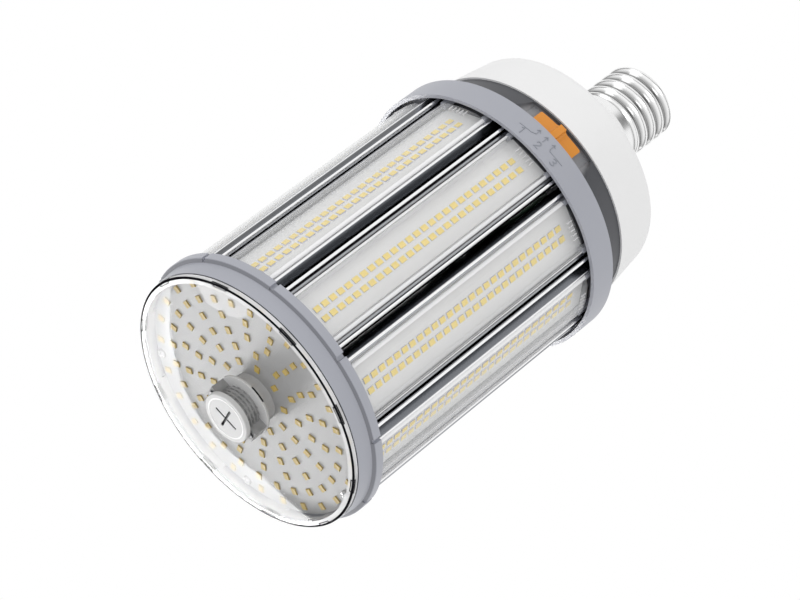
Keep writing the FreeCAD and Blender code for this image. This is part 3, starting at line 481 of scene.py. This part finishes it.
def chip_faces(width, length, points, faces, turn):
    """One light chip: a low tray, filled to its edges."""
    top = CHIP_HEIGHT
    rings = [(0.0, 0.0), (0.0, top * 0.8), (0.1, top), (0.22, top), (0.34, top - 0.05)]
    first = len(points)
    for inset, z in rings:
        w, l = width / 2 - inset, length / 2 - inset
        for x, y in ((-w, -l), (w, -l), (w, l), (-w, l)):
            points.append(turn @ Vector((x, y, z)))
    for ring in range(len(rings) - 1):
        a = first + 4 * ring
        for i in range(4):
            j = (i + 1) % 4
            faces.append((a + i, a + j, a + 4 + j, a + 4 + i))
    last = first + 4 * (len(rings) - 1)
    faces.append((last, last + 1, last + 2, last + 3))


def chip_slots(mesh, face_first, chips):
    """Gives the walls of each chip one material and its top another; the walls' darker colour is
    painted shade.
    """
    per_chip = 4 * 4 + 1
    for chip in range(chips):
        start = face_first + chip * per_chip
        for k in range(per_chip):
            mesh.polygons[start + k].material_index = 2 if k >= 4 else 1


def make_strips(board, tray, top):
    """White boards with two rows of chips."""
    points, faces = [], []
    half = 10.7
    corners = [(-half, SEAT_Y), (half, SEAT_Y), (half, STRIP_Y), (-half, STRIP_Y)]
    outline = rounded(corners, 0.08, 2)
    prism(outline, STRIP_FOOT, STRIP_TOP, points, faces)
    chip_first = len(faces)
    chips = 0
    for row in (-2.7, 2.7):
        for i in range(27):
            z = SLAT_FOOT + 18.15 + 4.948 * i
            turn = Matrix.Rotation(math.radians(-90), 4, "X")
            turn = Matrix.Translation((row, STRIP_Y, z)) @ turn
            chip_faces(2.8, 3.5, points, faces, turn)
            chips += 1
    first = make_piece("strip_01", points, faces, board)
    first.data.materials.append(tray)
    first.data.materials.append(top)
    chip_slots(first.data, chip_first, chips)
    copy_round(first, "strip", "light_strip")


def bowed(half_width, side_y, bevel, crown_y, steps=20):
    """A bowed top from right to left: rounded shoulder, bevel, crown, and back down."""
    bevel_x, bevel_y = bevel
    side = [(half_width, side_y - 2.0), (half_width, side_y + 0.9, 1.2)]
    shoulder = rounded(side + [(bevel_x + 2.6, bevel_y - 1.3), bevel], 0.1)
    rising = [tuple(p) for p in shoulder[1:] if p.y >= side_y]
    crown = []
    for i in range(1, steps):
        x = bevel_x * (1 - 2 * i / steps)
        crown.append((x, crown_y - (crown_y - bevel_y) * (x / bevel_x) ** 2))
    return rising + crown + [(-x, y) for x, y in reversed(rising)]


def make_covers(clear, frosted, painted_glint):
    """Clear bowed covers with feet under the hooks, frosted ticks near one end, and a painted
    highlight on their lower shoulders.
    """
    outer = bowed(13.6, 61.0, (9.6, 64.2), 65.0)
    inner = bowed(12.6, 60.8, (9.1, 63.2), 64.0)
    right_foot = [(12.6, 58.42), (14.8, 58.42), (14.8, 59.4), (13.6, 59.4)]
    left_foot = [(-13.6, 59.4), (-14.8, 59.4), (-14.8, 58.42), (-12.6, 58.42)]
    outline = right_foot + outer + left_foot + list(reversed(inner))
    points, faces = [], []
    prism([Vector(p) for p in outline], COVER_FOOT, STRIP_TOP, points, faces)
    plain = len(faces)
    for i in range(5):
        x = -4.4 + 2.2 * i
        box((x - 0.16, x + 0.16), (64.4, 65.08), (129.3, 132.3), points, faces)
    first = make_piece("cover_01", points, faces, clear, sharp=20.0)
    first.data.materials.append(frosted)
    first.data.materials.append(painted_glint)
    for face in first.data.polygons:
        if face.index >= plain:
            face.material_index = 1
        # Painted highlight: the lower shoulders take a bright, nearly opaque white
        elif 12.25 < abs(face.center.x) / MM < 13.5 and face.center.y / MM > 61.3:
            face.material_index = 2
    copy_round(first, "cover", "slat_cover")


# Front


def make_lens(clear, frosted, edge):
    """A clear, slightly domed disc with a frosted wall, ten snap clips and dark lines; the dark
    lines at its rim and wall foot are painted shade.
    """
    crown = 0.8
    reach = LENS_RADIUS
    bore = 12.4
    back = LENS_TOP - 2.6
    skirt_bore = 62.3
    skirt = 63.3
    skirt_foot = 282.4
    top = []
    for i in range(25):
        radius = bore + (reach - 1.1 - bore) * i / 24
        top.append((radius, LENS_TOP + crown * (1 - (radius / reach) ** 4)))
    rim = [(reach - 0.25, LENS_TOP - 0.03), (reach, LENS_TOP - 0.4)]
    wall = [(reach, FRAME_TOP + 0.45), (reach, FRAME_TOP + 0.02)]
    under = [(skirt, FRAME_TOP + 0.02), (skirt, skirt_foot), (skirt_bore, skirt_foot)]
    ceiling = [(skirt_bore, back), (bore, back)]
    outline = list(reversed(top + rim + wall + under + ceiling))
    points, faces = [], []
    lathe(outline, points, faces, steps=160)
    turned = len(faces)
    for angle in SLAT_ANGLES:
        sector(skirt_bore, skirt, (279.4, 282.5), angle, 5.5, points, faces)
        sector(skirt, 64.1, (279.4, 280.7), angle, 5.5, points, faces)
        sector(63.1, 63.45, (284.0, LENS_TOP + 0.16), angle, 3.4, points, faces)
        for end in (angle - 3.4, angle + 3.4):
            sector(63.1, 64.5, (284.0, LENS_TOP + 0.14), end, 0.3, points, faces, 2)
        sector(64.6, 65.02, (285.9, LENS_TOP - 0.45), angle, 4.4, points, faces)
    slot = (LENS_TOP + 0.5, LENS_TOP + crown + 0.03)
    sector(15.5, 16.2, slot, 259.5, 14.5, points, faces)
    lens = make_piece("clear_front", points, faces, clear, sharp=30.0, replaces=("front_lens",))
    lens.data.materials.append(frosted)
    lens.data.materials.append(edge)
    for face in lens.data.polygons:
        radius = face.center.xy.length / MM
        height = face.center.z / MM
        clip = face.index >= turned and height < 282.6
        if clip or face.index < turned and 62.2 < radius < 63.4 and height > 282.3:
            face.material_index = 1
        # Dark lines: the added ribs, rim line and arc by the port, then the wall's foot and the
        # rim fillet; at the rim and foot they are painted shade
        elif face.index >= turned or height < FRAME_TOP + 0.4 and radius > reach - 0.1:
            face.material_index = 2
        elif radius > reach - 1.1 and height > LENS_TOP - 0.45:
            face.material_index = 2
        elif radius > reach - 0.1:
            face.material_index = 1


def make_port_rings(material):
    """Three ring ribs round the port's tower."""
    points, faces = [], []
    for i in range(3):
        z = 290.0 + 1.9 * i
        outline = [(10.45, z - 0.55), (10.95, z - 0.3), (10.95, z + 0.3), (10.45, z + 0.55)]
        lathe(outline, points, faces, steps=96)
    make_piece("port_rings", points, faces, material, sharp=60.0)


def make_cap_ring(material):
    """A low raised ring on the cap's face, just inside its rim, whiter than the face as a
    painted highlight.
    """
    points, faces = [], []
    outline = [(9.9, 298.98), (10.1, 299.16), (10.5, 299.16), (10.7, 298.98)]
    lathe(outline, points, faces, steps=96)
    ring = make_piece("cap_ring", points, faces, material, sharp=60.0)
    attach(ring, "cap")


# Rings of chips on the front board: radius, count, first angle and step
FRONT_RINGS = [
    (18.3, 10, 252.0, 36.0),
    (26.4, 13, 263.1, -27.692),
    (34.4, 18, 0.0, 20.0),
    (42.5, 18, 0.0, 20.0),
    (50.4, 28, 0.0, 12.857),
]


def front_chip_places():
    """Radius and angle of each chip: five full rings, then five groups at the edge."""
    places = []
    for radius, count, start, step in FRONT_RINGS:
        places += [(radius, start + step * i) for i in range(count)]
    for group in range(5):
        places += [(58.2, 72.0 * group + 13.65 * (i - 2)) for i in range(5)]
    return places


def make_front_chips(tray, top):
    """The chips on the front board, as one piece."""
    points, faces = [], []
    places = front_chip_places()
    for radius, angle in places:
        turn = Matrix.Rotation(math.radians(angle), 4, "Z")
        turn = turn @ Matrix.Translation((radius, 0, CHIP_BASE))
        chip_faces(3.5, 2.8, points, faces, turn)
    chips = make_piece("front_lights", points, faces, tray, replaces=("front_chips",))
    chips.data.materials.append(tray)
    chips.data.materials.append(top)
    chip_slots(chips.data, 0, len(places))


# Marks on the collar

STROKES = {
    "1": [[(-0.35, 0.6), (0.1, 1.0), (0.1, -1.0)]],
    "2": [[
        (-0.5, 0.5), (-0.35, 0.9), (0.0, 1.0), (0.4, 0.85), (0.5, 0.45), (0.3, 0.05),
        (-0.5, -1.0), (0.55, -1.0),
    ]],
    "3": [
        [(-0.5, 0.8), (-0.1, 1.0), (0.35, 0.9), (0.5, 0.5), (0.3, 0.15), (-0.1, 0.05)],
        [(-0.1, 0.05), (0.35, -0.1), (0.55, -0.5), (0.35, -0.9), (-0.1, -1.0), (-0.5, -0.8)],
    ],
}


def raised_line(path, width, rise, points, faces):
    """A raised stroke on the collar, along points given round it and up it in mm."""
    rings = []
    flat = [Vector(p) for p in path]
    for i, here in enumerate(flat):
        back = (here - flat[i - 1]).normalized() if i else None
        ahead = (flat[i + 1] - here).normalized() if i + 1 < len(flat) else None
        along = ((back or ahead) + (ahead or back)).normalized()
        side = Vector((-along.y, along.x))
        stretch = 1.0
        if back and ahead:
            stretch = min(1.6, 1.0 / max(0.3, side.dot(Vector((-back.y, back.x)))))
        if not back:
            here = here - along * width * 0.4
        if not ahead:
            here = here + along * width * 0.4
        ring = []
        for offset, lift in ((-0.5, -0.05), (-0.32, 1.0), (0.32, 1.0), (0.5, -0.05)):
            spot = here + side * offset * width * stretch
            angle = 270.0 + math.degrees(spot.x / COLLAR_RADIUS)
            ring.append(polar(COLLAR_RADIUS + lift * rise, angle, spot.y))
        rings.append(ring)
    first = len(points)
    for ring in rings:
        points += ring
    for i in range(len(rings) - 1):
        a = first + 4 * i
        for k in range(3):
            faces.append((a + k, a + k + 1, a + 5 + k, a + 4 + k))
    faces.append((first, first + 3, first + 2, first + 1))
    last = first + 4 * (len(rings) - 1)
    faces.append((last, last + 1, last + 2, last + 3))


def make_marks(material):
    """Three arrows towards the slider's places, two leader lines and plain numbers, in a grey
    darker than the collar as painted shade.
    """
    line = 0.36
    rise = 0.25
    tip = 116.6
    points, faces = [], []
    for x, foot in ((4.45, 119.9), (-0.35, 120.3), (-5.25, 120.0)):
        barbs = [(x - 0.95, tip + 1.2), (x, tip), (x + 0.95, tip + 1.2)]
        raised_line([(x, foot), (x, tip)], line, rise, points, faces)
        raised_line(barbs, line, rise, points, faces)
    raised_line([(4.45, 119.9), (6.5, 120.9), (13.2, 121.3)], line, rise, points, faces)
    raised_line([(-5.25, 120.0), (-5.9, 121.1), (-14.2, 120.9)], line, rise, points, faces)
    for label, x in (("1", 10.0), ("2", -0.1), ("3", -10.7)):
        for stroke in STROKES[label]:
            path = [(x - u * 2.1, 123.5 - v * 1.9) for u, v in stroke]
            raised_line(path, 0.55, rise, points, faces)
    make_piece("place_marks", points, faces, material, sharp=50.0)


# Screw shell


def make_shell(metal):
    """A thin shell: round helical thread outside, plain band above, turned-in lip below."""
    steps = 120
    rise_steps = 150
    pitch = 6.35
    root = 17.75
    depth = 1.9
    band = 18.55
    lip = 0.8
    thread_top = SHELL_TOP - 7.7
    points, faces = [], []
    rows = []
    for level in range(rise_steps + 1):
        z = SHELL_FOOT + (SHELL_TOP - SHELL_FOOT) * level / rise_steps
        row = []
        for step in range(steps):
            turn = 2 * math.pi * step / steps
            wave = 0.5 + 0.5 * math.cos(2 * math.pi * (z - 11.0) / pitch - turn)
            thread = root + depth * wave ** 0.85
            fade = min(1.0, (z - SHELL_FOOT) / 0.9 * 0.5 + 0.5)
            fade_top = min(1.0, max(0.0, (thread_top + 0.8 - z) / 1.8))
            radius = root + (thread - root) * fade
            radius = band + (radius - band) * fade_top
            if z < SHELL_FOOT + lip:
                radius -= 0.4 * (1 - (z - SHELL_FOOT) / lip) ** 2
            row.append(Vector((radius * math.cos(turn), radius * math.sin(turn), z)))
        rows.append(row)
    inner_low = [polar(16.3, 360 * s / steps, SHELL_FOOT) for s in range(steps)]
    inner_mid = [polar(16.3, 360 * s / steps, SHELL_FOOT + 1.0) for s in range(steps)]
    inner_top = [polar(17.3, 360 * s / steps, SHELL_TOP) for s in range(steps)]
    rows = [inner_top, inner_mid, inner_low] + rows
    for row in rows:
        points += row
    for level in range(len(rows)):
        a = level * steps
        b = (level + 1) % len(rows) * steps
        for step in range(steps):
            nxt = (step + 1) % steps
            faces.append((a + step, a + nxt, b + nxt, b + step))
    make_piece("rolled_shell", points, faces, metal, sharp=40.0, replaces=("screw_shell",))


# Screws


def make_cross_heads(metal):
    """Pan heads with a cross recess, on the front board."""
    points, faces = [], []
    for i in range(5):
        centre = polar(59.4, 36.0 + 72.0 * i, CHIP_BASE)
        screw_head(centre, 2.4, 1.5, 20.0 * i, points, faces)
    make_piece("cross_heads", points, faces, metal, sharp=30.0, replaces=("board_screws",))


def screw_head(centre, radius, height, turn, points, faces):
    """A domed head whose middle is pressed in along a cross."""
    first = len(points)
    around = 32
    rings = [
        (1.0, 0.0), (1.0, 0.45), (0.93, 0.72), (0.78, 0.9),
        (0.6, 0.97), (0.45, 1.0), (0.3, 1.0), (0.14, 1.0),
    ]
    for share, level in rings:
        for k in range(around):
            angle = 360.0 * k / around
            inside = share < 0.62
            arm = abs(((angle - turn) % 90.0) - 45.0) > 30.0 if share > 0.2 else True
            sink = 0.55 if inside and arm else 0.0
            z = height * (level - sink)
            points.append(centre + polar(radius * share, angle, z))
    for ring in range(len(rings) - 1):
        a = first + ring * around
        for k in range(around):
            j = (k + 1) % around
            faces.append((a + k, a + j, a + around + j, a + around + k))
    last = first + (len(rings) - 1) * around
    faces.append(tuple(last + k for k in range(around)))


# Studio

SKY_STRENGTH = 0.8
SHADE_STRENGTH = 0.3
FLOOR_HALF = 4000
FLOOR_DROP = 600
FLOOR_SHADE = 0.85
CARD_DISTANCE = 1600
# Cards that only reflections see, as bearing and height in degrees; their outlines were
# worked out so that the lens reflects them as in the photograph, from its angle
LOW_CARD = [
    (60, 14), (96, 14), (96, 27), (88, 27.1), (85, 27.3), (83, 27.5), (81, 27.0),
    (79, 26.7), (77.5, 27.0), (76, 27.6), (74.5, 28.2), (73, 29.2), (71, 30.6),
    (68, 32.8), (60, 38),
]
SOFT_CARD = [
    (71.2, 33.2), (72.6, 32.4), (74.0, 32.0), (75.2, 32.4),
    (75.7, 33.4), (75.4, 35.0), (74.4, 37), (72, 37),
]


def aim(piece, place, target):
    """Puts a piece at a place, facing a target, both in millimetres."""
    piece.location = Vector(place) * MM
    ahead = Vector(target) * MM - piece.location
    piece.rotation_euler = ahead.to_track_quat("-Z", "Y").to_euler()


def make_lamp(name, place, target, size, strength):
    """A soft rectangular lamp; its strength is the brightness of its face."""
    light = bpy.data.lights.new(name, "AREA")
    light.shape = "RECTANGLE"
    light.size, light.size_y = size[0] * MM, size[1] * MM
    light.energy = strength * light.size * light.size_y * math.pi
    lamp = bpy.data.objects.new(name, light)
    bpy.context.scene.collection.objects.link(lamp)
    lamp.visible_camera = False
    aim(lamp, place, target)


def make_studio():
    """White surroundings, a floor below the lamp, soft lamps and two cards."""
    scene = bpy.context.scene
    scene.view_settings.view_transform = "Standard"
    world = bpy.data.worlds.new("studio")
    scene.world = world
    world.use_nodes = True
    nodes = Nodes(world.node_tree)
    background = world.node_tree.nodes["Background"]
    seen = nodes.add("ShaderNodeLightPath", {}, output="Is Camera Ray")
    clear = nodes.add("ShaderNodeLightPath", {}, output="Is Transmission Ray")
    glossy = nodes.add("ShaderNodeLightPath", {}, output="Is Glossy Ray")
    # Reflections see a sky that darkens towards the horizon
    aim_at = nodes.add("ShaderNodeTexCoord", {}, output="Generated")
    height = nodes.add("ShaderNodeSeparateXYZ", {}, aim_at, output="Z")
    horizon = height.ramp(0.02, 0.3, SHADE_STRENGTH, 1.0)
    level = seen + clear + glossy * horizon + (1 - seen - clear - glossy) * SKY_STRENGTH
    nodes.feed(background.inputs["Color"], (1.0, 1.0, 1.0, 1.0))
    nodes.feed(background.inputs["Strength"], level)

    make_floor()
    make_lamp("key_lamp", (-600, -1500, 800), (0, 0, 150), (700, 700), 3.0)
    make_lamp("fill_lamp", (1100, -700, 400), (0, 0, 150), (600, 900), 1.7)
    make_lamp("back_lamp", (-300, 1500, 300), (0, 0, 250), (1800, 600), 1.2)
    make_card("low_card", LOW_CARD, 19.0)
    make_card("soft_card", SOFT_CARD, 7.0)


def make_floor():
    """A pale floor, even white to the camera, with a dark patch that only reflections see."""
    floor = bpy.data.objects.new("floor", bpy.data.meshes.new("floor"))
    half = FLOOR_HALF
    corners = ((-half, -half, 0), (half, -half, 0), (half, half, 0), (-half, half, 0))
    floor.data.from_pydata([Vector(p) * MM for p in corners], [], [(0, 1, 2, 3)])
    floor.location = (0, 0, -FLOOR_DROP * MM)
    bpy.context.scene.collection.objects.link(floor)
    finish = Finish("pale_floor", (0.9, 0.9, 0.9), 0.8)
    glow = finish.add("ShaderNodeEmission", {}, Color=(1.0, 1.0, 1.0, 1.0), Strength=1.0)
    camera_ray = finish.add("ShaderNodeLightPath", {}, output="Is Camera Ray")
    glossy_ray = finish.add("ShaderNodeLightPath", {}, output="Is Glossy Ray")
    # The patch's soft edges, in millimetres to the side of the lamp and ahead of it
    across = finish.along("X")
    ahead = finish.along("Y")
    aside = across.ramp(-1100, -450) * across.ramp(330, -330)
    shade = aside * ahead.ramp(-2300, -1700) * ahead.ramp(-330, -520)
    mixed = finish.tree.nodes.new("ShaderNodeMixShader")
    finish.feed(mixed.inputs[0], camera_ray + glossy_ray * (1 - shade * FLOOR_SHADE))
    dark = finish.blend(glossy_ray * shade, finish.color, (0.1, 0.1, 0.1, 1.0))
    finish.put("Base Color", dark)
    result = finish.tree.nodes["Material Output"].inputs["Surface"]
    finish.tree.links.new(finish.shader.outputs[0], mixed.inputs[1])
    finish.tree.links.new(glow.socket, mixed.inputs[2])
    finish.tree.links.new(mixed.outputs[0], result)
    floor.data.materials.append(finish.material)


def make_card(name, outline, strength):
    """A glowing card behind the lamp, its corners given as bearing and height in degrees."""
    points = []
    for bearing, height in outline:
        level = CARD_DISTANCE * math.cos(math.radians(height))
        spot = polar(level, bearing, CARD_DISTANCE * math.sin(math.radians(height)) + LENS_TOP)
        points.append(spot * MM)
    card = bpy.data.objects.new(name, bpy.data.meshes.new(name))
    card.data.from_pydata(points, [], [tuple(range(len(points)))])
    bpy.context.scene.collection.objects.link(card)
    finish = Finish(name, (0.0, 0.0, 0.0), 0.9, Emission_Strength=strength)
    finish.put("Emission Color", (1.0, 1.0, 1.0, 1.0))
    card.data.materials.append(finish.material)
    card.visible_camera = False
    card.visible_diffuse = False
    card.visible_shadow = False


def make_camera():
    """The photograph's view."""
    data = bpy.data.cameras.new("photo_view")
    data.sensor_fit = "HORIZONTAL"
    data.sensor_width = 36.0
    data.lens = CAMERA_LENS
    data.clip_start = 0.01
    data.clip_end = 50.0
    camera = bpy.data.objects.new("photo_view", data)
    bpy.context.scene.collection.objects.link(camera)
    camera.location = Vector(CAMERA_PLACE) * MM
    camera.rotation_euler = Euler([math.radians(a) for a in CAMERA_TURN], "XYZ")
    bpy.context.scene.camera = camera


# Dressing

BLACK_NODES = [
    "slide_switch", "driver_parts", "port_socket", "base_insulator", "port_seal",
    "driver_transformer", "driver_choke", "driver_capacitors", "port_screws",
]


def coat(nodes, names, material):
    """Gives CAD nodes a material; their edges stay as the CAD made them."""
    for name in names:
        slots = nodes[name].data.materials
        slots.clear()
        slots.append(material)


def main():
    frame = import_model()
    nodes = frame["nodes"]

    white = plain_moulding("white_moulding", (0.86, 0.86, 0.86), 0.42)
    grey = plain_moulding("grey_moulding", (0.38, 0.39, 0.435), 0.38)
    # The marks' darker grey is painted shade along the raised strokes
    shaded_mark = plain_moulding("shaded_grey_marks", (0.27, 0.285, 0.32), 0.4)
    orange = plain_moulding("orange_moulding", (0.71, 0.265, 0.026), 0.35)
    black = plain_moulding("black_moulding", (0.03, 0.03, 0.032), 0.4)
    metal = bright_extrusion()
    nickel = rolled_nickel()
    board = plain_moulding("white_mask", (0.80, 0.80, 0.80), 0.35)
    front_mask = plain_moulding("front_mask", (0.48, 0.48, 0.48), 0.35)
    # The chips' walls are written darker than their tops, as painted shade
    tray = plain_moulding("chip_side_shade", (0.62, 0.62, 0.70), 0.4)
    chip_top = plain_moulding("chip_top", (0.92, 0.73, 0.24), 0.45)
    front_side_shade = plain_moulding("front_chip_side_shade", (0.55, 0.38, 0.06), 0.4)
    front_top = plain_moulding("front_chip_top", (0.76, 0.53, 0.08), 0.45)
    clear = clear_moulding("clear_cover", (0.85, 0.86, 0.87), 0.03, 0.05, 0.9, 3.0)
    lens = clear_moulding("clear_lens", (0.10, 0.10, 0.105), 0.02, 0.07, 0.6, 3.0)
    frosted = Finish("frosted_moulding", (0.88, 0.88, 0.89), 0.2, Alpha=0.6).material
    painted_glint = Finish("painted_shoulder_highlight", (0.95, 0.95, 0.96), 0.25, Alpha=0.92).material
    edge = Finish("painted_shade_edge", (0.01, 0.01, 0.012), 0.6, Specular_IOR_Level=0.0).material
    zinc = Finish("zinc_plate", (0.62, 0.62, 0.63), 0.3, Metallic=1.0).material
    port = smoked_port()
    green = plain_moulding("circuit_mask", (0.03, 0.16, 0.06), 0.35)
    brass = Finish("soldered_brass", (0.75, 0.66, 0.5), 0.3, Metallic=1.0).material

    coat(nodes, ["base_housing"], white)
    coat(nodes, ["port_cap"], slotted_cap())
    coat(nodes, ["collar"], grey)
    coat(nodes, ["front_frame"], stepped_frame())
    coat(nodes, ["switch_band"], recessed_band())
    coat(nodes, ["power_slider"], orange)
    coat(nodes, BLACK_NODES, black)
    coat(nodes, ["switch_knob"], white)
    coat(nodes, ["driver_board"], green)
    coat(nodes, ["slat_screws"], nickel)
    coat(nodes, ["contact_tip"], brass)
    coat(nodes, ["front_board"], front_mask)
    coat(nodes, ["port_base"], port)

    make_slats(metal)
    make_strips(board, tray, chip_top)
    make_covers(clear, frosted, painted_glint)
    make_lens(lens, frosted, edge)
    make_front_chips(front_side_shade, front_top)
    make_port_rings(port)
    # The cap's ring takes the housing's brighter white, a painted highlight
    make_cap_ring(white)
    make_cross_heads(zinc)
    make_shell(nickel)
    make_marks(shaded_mark)
    make_camera()
    make_studio()


main()
